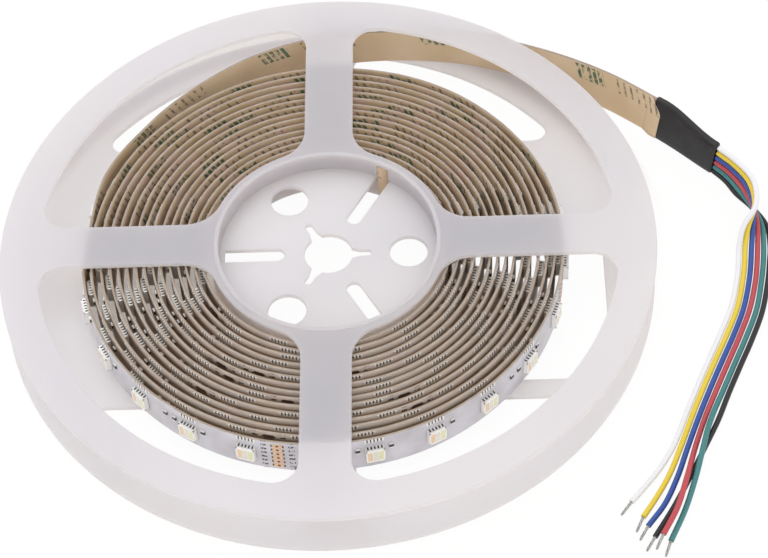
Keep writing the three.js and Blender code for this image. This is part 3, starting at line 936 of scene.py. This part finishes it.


# Dark marks between the solder of the test pads.
def edge_mark_gaps(bm):
    between_pins(bm, EDGE_MARK_LOW, EDGE_MARK_HIGH, 0.04)


# Resistors: the package in its cut length that each one belongs to, and how far along it lies
RESISTORS = ((1, 4.6), (1, 7.6), (1, -4.4), (3, -5), (4, 4.4), (4, -4.4))
RESISTOR_PLACE = 1.8
RESISTOR_HALF_LENGTH = 1
RESISTOR_BODY_REACH = 0.65
RESISTOR_CAP_START = 0.62
RESISTOR_HALF_WIDTH = 0.6
RESISTOR_PROUD = 0.45


def resistor_body(bm):
    half, reach = RESISTOR_HALF_WIDTH, RESISTOR_BODY_REACH
    low = (-half, FACE, RESISTOR_PLACE - reach)
    box_part(bm, low, (half, FACE + RESISTOR_PROUD, RESISTOR_PLACE + reach), 0.05)


def resistor_ends(bm):
    half, near, far = RESISTOR_HALF_WIDTH + SUNK, RESISTOR_CAP_START, RESISTOR_HALF_LENGTH
    for side in (-1, 1):
        low, high = sorted((RESISTOR_PLACE + side * near, RESISTOR_PLACE + side * far))
        box_part(bm, (-half, FOOT, low), (half, FACE + RESISTOR_PROUD + SUNK, high), 0.06)


PADS = 6
PAD_PITCH = 1.76


def pad_rows(bm, spans, half_height, proud):
    """Boxes at the same places on each of the pads, one pad for each conductor."""
    for z in centred(PADS, PAD_PITCH):
        for left, right in spans:
            low = (left, FOOT, z - half_height)
            box_part(bm, low, (right, FACE + proud, z + half_height), 0.02)


def cut_pads(bm):
    pad_rows(bm, [(-1.35, 1.35)], 0.72, 0.05)


def cut_pad_ends(bm):
    """Darker copper at the ends of the pads and at the drill mark in the middle of each."""
    pad_rows(bm, [(-1.75, -1.3), (1.3, 1.75), (-0.35, 0.35)], 0.36, 0.07)


def copies_along(tree, sockets, guide, shape, rows, material):
    """One bmesh of a part's copies along the strip, for rows of count, first distance and pitch."""
    bm = bmesh.new()
    shape(bm)
    part_mesh = bpy.data.meshes.new("repeated_part")
    bm.to_mesh(part_mesh)
    bm.clear()
    part = linked("repeated_part", part_mesh)
    for count, first, pitch in rows:
        carrier = linked("carrier", guide.copy())
        modifier = carrier.modifiers.new("repeat", "NODES")
        modifier.node_group = tree
        modifier[sockets["Part"]] = part
        modifier[sockets["Count"]] = count
        modifier[sockets["First"]] = first * MM
        modifier[sockets["Pitch"]] = pitch * MM
        modifier[sockets["Finish"]] = material
        shown = bpy.context.evaluated_depsgraph_get()
        made = bpy.data.meshes.new_from_object(carrier.evaluated_get(shown))
        bpy.data.objects.remove(carrier)
        bm.from_mesh(made)
        bpy.data.meshes.remove(made)
    bpy.data.objects.remove(part)
    return bm


def make_repeats(finishes):
    tree, sockets = along_strip_tree()
    guide = guide_mesh()
    cut_pitch = LEDS_PER_CUT * LED_PITCH

    def all_along(start, pitch, low=LED_PITCH, high=ROLL_END + sleeve_start - LED_SIZE):
        """Every place between two distances that is a whole number of pitches from a start."""
        first = low + (start - low) % pitch
        return math.floor((high - first) / pitch) + 1, first, pitch

    leds = [all_along(LED_ORIGIN, LED_PITCH)]
    cuts = [all_along(CUT_START, cut_pitch)]
    open_from = ROLL_END - OPEN_FACE
    open_cuts = [all_along(CUT_START, cut_pitch, low=open_from)]
    wound_cuts = [all_along(CUT_START, cut_pitch, high=open_from)]
    resistors = [
        all_along(CUT_START + (led + 0.5) * LED_PITCH + reach, cut_pitch) for led, reach in RESISTORS
    ]
    pieces = [
        ("led_bodies", led_body, leds, "package", "led_package"),
        ("led_cells_warm", lambda bm: led_cell(bm, "warm"), leds, "warm", "led_package"),
        ("led_cells_clear", lambda bm: led_cell(bm, "clear"), leds, "clear", "led_package"),
        ("led_cells_cool", lambda bm: led_cell(bm, "cool"), leds, "cool", "led_package"),
        ("led_leads", led_leads, leds, "tinned", "tinned_copper"),
        ("led_lead_gaps", led_lead_gaps, leds, "dark", "led_package"),
        ("edge_marks", edge_marks, leds, "solder_dome", "tinned_copper"),
        ("edge_mark_gaps", edge_mark_gaps, leds, "ink", "led_package"),
        ("resistor_bodies", resistor_body, resistors, "dark", "led_package"),
        ("resistor_ends", resistor_ends, resistors, "tinned", "tinned_copper"),
        ("cut_pads_open", cut_pads, open_cuts, "copper", "tinned_copper"),
        ("cut_pads_wound", cut_pads, wound_cuts, "wound_copper", "tinned_copper"),
        ("cut_pad_ends", cut_pad_ends, cuts, "dull_copper", "tinned_copper"),
    ]
    for name, shape, rows, finish, slot_name in pieces:
        material = finishes[finish]
        copies = copies_along(tree, sockets, guide, shape, rows, material)
        piece = finished(name, copies, [material])
        if name == "led_bodies":
            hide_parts(*[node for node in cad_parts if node.startswith("led_package")])


# Sleeve, in millimetres at its mouth, and at its end where it has narrowed round the wires
SLEEVE_RINGS = 44
SLEEVE_SIDES = 28
SLEEVE_NARROWING = (0.1, 1)
SLEEVE_MOUTH_LOW = STRIP_BOTTOM - 0.6
SLEEVE_END_LOW = 0.15
SLEEVE_MOUTH_HEIGHT = STRIP_WIDTH + 1.2
SLEEVE_END_HEIGHT = 10.1
SLEEVE_THICKNESS = 1.95
SLEEVE_SWELL = 0.35
SLEEVE_WAVE = 0.12
SLEEVE_LIP_THINNER = 0.25
SLEEVE_LIP_INSET = 0.1
RIDGE_DEPTH = 0.06
RIDGE_COUNT = 12

# Powers that square the sleeve's section across and up, where 1 would be an ellipse and 0 a box
SQUARE_ACROSS = 0.55
SQUARE_UP = 0.3

# The openings at the sleeve's ends, as shares of its section, and their depth in rings
OPENING_RIM = 0.86
OPENING_FLOOR = 0.84
OPENING_DEPTH = 1.5


def make_sleeve(material):
    """A flattened tube shrunk over the strip's end, narrower where the wires come out."""
    line = resampled(tail, sleeve_start - 0.1, tail_length - 0.35, SLEEVE_RINGS)
    bm = bmesh.new()
    rings = []
    for index, point in enumerate(line):
        t = index / SLEEVE_RINGS
        drop = eased(t, *SLEEVE_NARROWING)
        low = SLEEVE_MOUTH_LOW * (1 - drop) + SLEEVE_END_LOW * drop
        tall = SLEEVE_MOUTH_HEIGHT * (1 - drop) + SLEEVE_END_HEIGHT * drop
        thick = SLEEVE_THICKNESS + SLEEVE_SWELL * drop + SLEEVE_WAVE * math.sin(7 * t)
        if index in (0, SLEEVE_RINGS):
            thick -= SLEEVE_LIP_THINNER
            tall -= 2 * SLEEVE_LIP_INSET
            low += SLEEVE_LIP_INSET
        side = side_of(line, index)
        ring = []
        for step in range(SLEEVE_SIDES):
            angle = 2 * math.pi * step / SLEEVE_SIDES
            c, s = math.cos(angle), math.sin(angle)
            across = math.copysign(abs(c) ** SQUARE_ACROSS, c) * thick / 2
            ridge = RIDGE_DEPTH * drop * math.cos(math.asin(max(-1, min(1, s))) * RIDGE_COUNT)
            upward = math.copysign(abs(s) ** SQUARE_UP, s) * tall / 2
            spot = point + side * (across + math.copysign(ridge, c))
            ring.append(bm.verts.new(leaned(spot, low + tall / 2 + upward)))
        rings.append(ring)
    join_rings(bm, rings)
    for ring, neighbour in ((rings[0], rings[1]), (rings[-1], rings[-2])):
        middle = sum((v.co for v in ring), Vector()) / SLEEVE_SIDES
        inner = [bm.verts.new(middle.lerp(v.co, OPENING_RIM)) for v in ring]
        deep = [
            bm.verts.new(middle.lerp(v.co, OPENING_FLOOR) + (w.co - v.co) * OPENING_DEPTH)
            for v, w in zip(ring, neighbour)
        ]
        join_rings(bm, (ring, inner, deep))
        bm.faces.new(deep)
    bmesh.ops.recalc_face_normals(bm, faces=bm.faces)
    sleeve = finished("shrunk_sleeve", bm, [material])
    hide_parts("sleeve")


# The liner's end in millimetres: its start, its end and where it has risen are measured along
# the strip from the sleeve's mouth
FLAP_START = -2.5
FLAP_END = 2.4
FLAP_CUT = 3.2
FLAP_CUT_HEIGHT = 8.4
FLAP_THICKNESS = 0.14
FLAP_GAP = 0.02
FLAP_RISE = 0.78
FLAP_LEVEL = 0.2
FLAP_STEPS = 8
FLAP_ROWS = 12


def make_flap(liner, edge):
    """The liner's end, lying over the sleeve's mouth with its upper corner cut off."""
    bm = bmesh.new()
    layer = bm.loops.layers.uv.new("strip_metres")
    steps, rows = FLAP_STEPS, FLAP_ROWS
    sheets, places = [], {}
    for depth in (0, FLAP_THICKNESS):
        sheet = []
        for row in range(rows + 1):
            height = STRIP_WIDTH * row / rows
            cut = max(0, (height - FLAP_CUT_HEIGHT) / (STRIP_WIDTH - FLAP_CUT_HEIGHT))
            end = FLAP_END - FLAP_CUT * cut
            line = resampled(tail, sleeve_start + FLAP_START, sleeve_start + end, steps)
            spots = []
            for index, point in enumerate(line):
                place = FLAP_START + (end - FLAP_START) * index / steps
                rise = eased(place, FLAP_START, FLAP_LEVEL)
                offset = STRIP_THICKNESS / 2 + FLAP_GAP + FLAP_RISE * rise + depth
                spot = point - side_of(line, index) * offset
                spots.append(bm.verts.new(leaned(spot, STRIP_BOTTOM + height)))
                places[spots[-1]] = ROLL_END + sleeve_start + place, height
            sheet.append(spots)
        sheets.append(sheet)
    for sheet in sheets:
        for low, high in zip(sheet, sheet[1:]):
            for index in range(steps):
                corners = (low[index], low[index + 1], high[index + 1], high[index])
                bm.faces.new(corners).smooth = True
    rim = [(row, 0) for row in range(rows)]
    rim += [(rows, index) for index in range(steps)]
    rim += [(row, steps) for row in range(rows, 0, -1)]
    rim += [(0, index) for index in range(steps, 0, -1)]
    join_rings(bm, [[sheet[row][index] for row, index in rim] for sheet in sheets])
    map_faces(bm, layer, places)
    for face in list(bm.faces)[2 * steps * rows:]:
        face.material_index = 1
        face.smooth = False
    bmesh.ops.recalc_face_normals(bm, faces=bm.faces)
    finished("liner_flap", bm, [liner, edge])


# Wires, each from the sleeve to the bared end, the last two points being the bared end itself.
# A point without a height lies on the floor.
WIRES = {
    "white": ("#E4E4E8", [
        (109.1, 33.7, 9.1), (113.6, 28.7, 9.1), (117.5, 21.8, 9.2), (117.5, 13.1, 8.8),
        (113.9, 8, 5.8), (112.5, 3.7, 2.5), (112, -0.9, 1), (111.2, -5.9), (108.9, -15.1),
        (105.3, -24), (101.6, -32.3), (97.8, -40.9), (94.2, -49.5), (89.8, -60.3), (85.8, -67.1),
        (81.8, -72.3), (77.8, -77.1), (75, -80.7, 0.5),
    ]),
    "yellow": ("#E0C43A", [
        (108.9, 33.4, 7.4), (113.1, 28.7, 7.4), (116.7, 22.2, 7.5), (117.4, 14.3, 7.3),
        (115.3, 8.8, 4.8), (114.2, 4, 2.2), (113.7, -0.9, 1), (112.8, -6.1), (110.5, -15.6),
        (106.9, -24.6), (103.1, -33), (99.3, -41.6), (95.7, -50.2), (91.8, -60.3), (87.9, -69.5),
        (83.8, -76.7), (80.5, -81.7), (78.4, -86.1, 0.5),
    ]),
    "blue": ("#2E4F9C", [
        (108.6, 33.1, 5.8), (112.6, 28.7, 5.8), (116, 22.6, 5.9), (117.3, 15.5, 5.7),
        (116.7, 9.6, 3.8), (116, 4.2, 1.9), (115.4, -0.9, 1), (114.5, -6.3), (112.1, -16),
        (108.5, -25.2), (104.7, -33.6), (100.9, -42.2), (97.3, -50.8), (93.6, -60.4), (90.1, -69.9),
        (86.3, -77.9), (81.6, -84.4), (78.9, -88.9, 0.5),
    ]),
    "red": ("#B8474E", [
        (108.4, 32.9, 4.1), (112.1, 28.6, 4.1), (115.2, 23, 4.2), (117.3, 16.7, 4.1),
        (118.1, 10.4, 2.9), (117.7, 4.4, 1.6), (117.1, -0.9, 0.95), (116.2, -6.5), (113.7, -16.4),
        (110, -25.8), (106.2, -34.3), (102.4, -42.9), (98.8, -51.4), (95.5, -60.6, 1),
        (92.3, -71.3, 2.9), (89.2, -80.3, 2.9), (85.1, -88, 2.6), (82.8, -92.6, 2),
    ]),
    "green": ("#3C7B7C", [
        (108.2, 32.6, 2.5), (111.5, 28.6, 2.5), (114.4, 23.4, 2.5), (117.2, 17.9, 2.5),
        (119.5, 11.2, 1.9), (119.4, 4.6, 1.2), (118.8, -0.9), (117.8, -6.7), (115.4, -16.9),
        (111.6, -26.4), (107.8, -34.9), (104, -43.5, 0.9), (101.3, -49.6, 1.2), (99, -56, 2.4),
        (97.3, -61.9, 2.7), (94.7, -70.6, 1.9), (91.4, -79.6, 0.9), (87, -89), (85.4, -93.2, 0.5),
    ]),
    "black": ("#212023", [
        (107.9, 32.4), (111, 28.6), (113.6, 23.8), (117.2, 19.1), (120.9, 12.1), (121.2, 4.8),
        (120.5, -0.9), (119.5, -6.9), (117, -17.3), (113.2, -27), (109.3, -35.6), (105.5, -44.2),
        (102, -52.6), (98.1, -60.5), (93, -70.6), (88.4, -79.1), (83.1, -87.7), (80.1, -92.6, 0.5),
    ]),
}


def rounded_route(points, per_span=8):
    """A smooth line through points whose pull follows the distance between them."""
    ends = [points[0] * 2 - points[1]] + points + [points[-1] * 2 - points[-2]]
    line = []
    for index in range(1, len(ends) - 2):
        p0, p1, p2, p3 = ends[index - 1:index + 3]
        d0, d1, d2 = (math.sqrt((b - a).length) for a, b in ((p0, p1), (p1, p2), (p2, p3)))
        leaving = ((p1 - p0) / d0 - (p2 - p0) / (d0 + d1) + (p2 - p1) / d1) * d1
        arriving = ((p2 - p1) / d1 - (p3 - p1) / (d1 + d2) + (p3 - p2) / d2) * d1
        line += [cubic(p1, p2, leaving, arriving, step / per_span) for step in range(per_span)]
    return line + [points[-1]]


def bared_strands(name, start, along, material):
    """Tinned strands twisted together, ending a little unevenly."""
    side = along.cross(Vector((0, 0, 1))).normalized()
    up = side.cross(along)
    bm = bmesh.new()
    steps, sides = 14, 6
    for index in range(STRANDS):
        reach = TIP_LENGTH + STRAND_UNEVEN * math.sin(2.3 * index)
        orbit = 0.0 if index == 0 else STRAND_ORBIT
        rings = []
        for step in range(steps + 1):
            t = step / steps
            angle = math.radians(360 / (STRANDS - 1) * index + STRAND_TWIST * t)
            spread = orbit * (1 - STRAND_GATHER * t)
            centre = start + along * (reach * t - STRAND_SUNK)
            centre += side * spread * math.cos(angle) + up * spread * math.sin(angle)
            corners = [2 * math.pi * corner / sides for corner in range(sides)]
            rings.append([
                bm.verts.new(at(*(centre + (side * math.cos(a) + up * math.sin(a)) * STRAND_RADIUS)))
                for a in corners
            ])
        join_rings(bm, rings)
        bm.faces.new(rings[0][::-1])
        bm.faces.new(rings[-1])
    bmesh.ops.recalc_face_normals(bm, faces=bm.faces)
    piece = finished("strands_" + name, bm, [material])
    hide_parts("wire_end_" + name)
    return piece


def make_wires(tinned):
    for name, (colour, route) in WIRES.items():
        points = [Vector((*point, WIRE_REST)[:3]) for point in route]
        tip = points.pop()
        line = rounded_route(points)
        # Extruded silicone insulation: one even colour with a soft, satin sheen.
        insulation = plain_finish("wire_silicone_" + name, colour, colour, 0.36, 1.5, IOR=1.45)
        data = bpy.data.curves.new("wire_run_" + name, "CURVE")
        data.dimensions = "3D"
        data.bevel_depth = WIRE_DIAMETER / 2 * MM
        data.bevel_resolution = 4
        data.use_fill_caps = True
        spline = data.splines.new("POLY")
        spline.points.add(len(line) - 1)
        for spot, point in zip(spline.points, line):
            spot.co = (*at(*point), 1)
        spline.use_smooth = True
        data.materials.append(insulation)
        wire = linked("wire_run_" + name, data)
        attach(wire, "root")
        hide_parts("wire_" + name)
        along = (tip - points[-1]).normalized()
        strands = bared_strands(name, points[-1], along, tinned)


# Floor and light: the floor's size and the lamp's are in metres
FLOOR_SIZE = 3
FLOOR_SUNK = 0.2 * MM
FLOOR_GLOW = 0.94
WORLD_STRENGTH = 1.08
LAMP_SIZE = 0.7
LAMP_POWER = 1.5
LAMP_PLACE = (-0.25, 0.3, 0.9)
PAPER = "#FFFBF7"

# The paper behind the reel's rear edge, which lies in soft shade: how it fades in and out with
# the distance from the axis, and how it begins behind the middle, in millimetres
SHADED_PAPER = "#DDD9D7"
SHADE_INNER = (81, 87)
SHADE_OUTER = (97, 92)
SHADE_BACK = (15, 45)


def make_stage():
    material = bpy.data.materials.new("pale_floor")
    tree = empty_tree(material)
    plain = add(tree, "ShaderNodeBsdfDiffuse")
    glow = add(tree, "ShaderNodeEmission", inputs={"Color": (1, 1, 1, 1), "Strength": 1.0})
    rays = add(tree, "ShaderNodeLightPath")
    seen = calc(tree, "MAXIMUM", rays.outputs["Is Camera Ray"], rays.outputs["Is Glossy Ray"])
    seen = calc(tree, "MAXIMUM", seen, rays.outputs["Is Transmission Ray"])
    place = add(tree, "ShaderNodeSeparateXYZ", inputs={
        "Vector": add(tree, "ShaderNodeNewGeometry").outputs["Position"],
    })
    across = calc(tree, "SUBTRACT", place.outputs[0], AXIS_X)
    back = place.outputs[1]
    reach = calc(tree, "SQRT", calc(tree, "MULTIPLY_ADD", across, across, product(tree, back, back)))
    outer, inner = faded(tree, reach, *SHADE_OUTER, MM), faded(tree, reach, *SHADE_INNER, MM)
    shaded = product(tree, product(tree, outer, inner), faded(tree, back, *SHADE_BACK, MM))
    share = product(tree, seen, calc(tree, "MULTIPLY_ADD", shaded, -FLOOR_GLOW, FLOOR_GLOW))
    tone = mixed(tree, shaded, linear(PAPER), linear(SHADED_PAPER))
    tree.links.new(tone, plain.inputs["Color"])
    both = add(tree, "ShaderNodeMixShader", inputs={0: share, 1: plain.outputs[0], 2: glow.outputs[0]})
    add(tree, "ShaderNodeOutputMaterial", inputs={"Surface": both.outputs[0]})
    bm = bmesh.new()
    below = Matrix.Translation((0, 0, -FLOOR_SUNK))
    bmesh.ops.create_grid(bm, x_segments=1, y_segments=1, size=FLOOR_SIZE, matrix=below)
    mesh = bpy.data.meshes.new("floor")
    bm.to_mesh(mesh)
    bm.free()
    mesh.materials.append(material)
    linked("floor", mesh)


def make_light():
    world = bpy.data.worlds.new("studio")
    bpy.context.scene.world = world
    tree = empty_tree(world)
    soft = add(tree, "ShaderNodeBackground", inputs={"Color": (1, 1, 1, 1), "Strength": WORLD_STRENGTH})
    add(tree, "ShaderNodeOutputWorld", inputs={"Surface": soft.outputs[0]})
    data = bpy.data.lights.new("overhead", "AREA")
    data.shape = "DISK"
    data.size = LAMP_SIZE
    data.energy = LAMP_POWER
    lamp = linked("overhead", data)
    lamp.location = LAMP_PLACE
    lamp.rotation_euler = (-lamp.location).to_track_quat("-Z", "Y").to_euler()


make_camera()
# Drawn copper strand, dipped in tin: grey metal with a soft shine.
metal = plain_finish("tinned_strand", "#A9A7A4", "#BEBCB8", 0.32, 1, 0.01, Metallic=1.0)
make_wires(metal)
reel_plastic = moulded_reel_plastic()
make_reel(reel_plastic)
liner = release_liner()
make_strip(
    circuit_board(),
    # The slit edges of the polyimide board and of the adhesive with its liner: matt and brownish.
    plain_finish("laminate_edge", "#9A8C81", "#AFA39A", 0.5, 3),
    liner,
    plain_finish("liner_edge", "#93816E", "#A28F7B", 0.6, 3),
)
# The cut edge of the liner alone: matt, pale paper.
make_flap(liner, plain_finish("liner_cut_edge", "#DDD3C2", "#E6DDCE", 0.6, 3))
make_repeats({
    # Glass-filled white resin of the package, which is satin, and the cast silicone that fills
    # its cells, which is glossier and takes its tint from the phosphor in it.
    "package": plain_finish("white_package_resin", "#F0EEEA", "#F6F4F1", 0.4, 3, IOR=1.5),
    "warm": plain_finish("warm_phosphor_silicone", "#E3C5A4", "#EAD1B4", 0.25, 1, IOR=1.45),
    "clear": plain_finish("clear_silicone_cell", "#DBD8CC", "#E4E2D9", 0.2, 1, IOR=1.45),
    "cool": plain_finish("cool_phosphor_silicone", "#DCDDB0", "#E3E4BE", 0.25, 1, IOR=1.45),
    # Reflowed solder: bright on the leads, duller on the test pads, where its near-white colour is a
    # painted reflection of the room's white light that keeps it pale in the shade between the turns.
    "tinned": plain_finish("bright_solder", "#E4E2DF", "#ECEBE8", 0.35, 1, Metallic=0.6),
    "solder_dome": plain_finish("solder_painted_white_reflection", "#E9E6E2", "#F1EFEC", 0.45, 1, Metallic=0.2),
    # Dark marks between the test pads, and the fired glaze of the resistors, which also colours the
    # painted shade between the packages' leads: both dark with little shine.
    "ink": plain_finish("dark_test_pad_gaps", "#403A38", "#564F4B", 0.5, 1, IOR=1.5),
    "dark": plain_finish("resistor_glaze_and_lead_shade", "#2B2A2C", "#343335", 0.35, 1, IOR=1.5),
    # Etched copper: pinkish and bright on the open face. On the wound turns the pads are brown as
    # painted shade, and every pad has darker copper at its ends and at its drill mark.
    "copper": plain_finish("bare_copper_pad", "#D8B090", "#E2BE9F", 0.3, 1, Metallic=0.9),
    "wound_copper": plain_finish("copper_pad_painted_shade", "#46352B", "#58443A", 0.5, 1, IOR=1.5),
    "dull_copper": plain_finish("darker_copper_marks", "#5A3F2E", "#6C4D39", 0.45, 1, Metallic=0.5),
})
# Heat-shrunk polyolefin: black and satin, slightly uneven from the joint inside it.
make_sleeve(plain_finish("shrunk_polyolefin", "#191718", "#232122", 0.42, 4, 0.05, IOR=1.49))
make_stage()
make_light()

scene = bpy.context.scene
scene.view_settings.view_transform = "Standard"
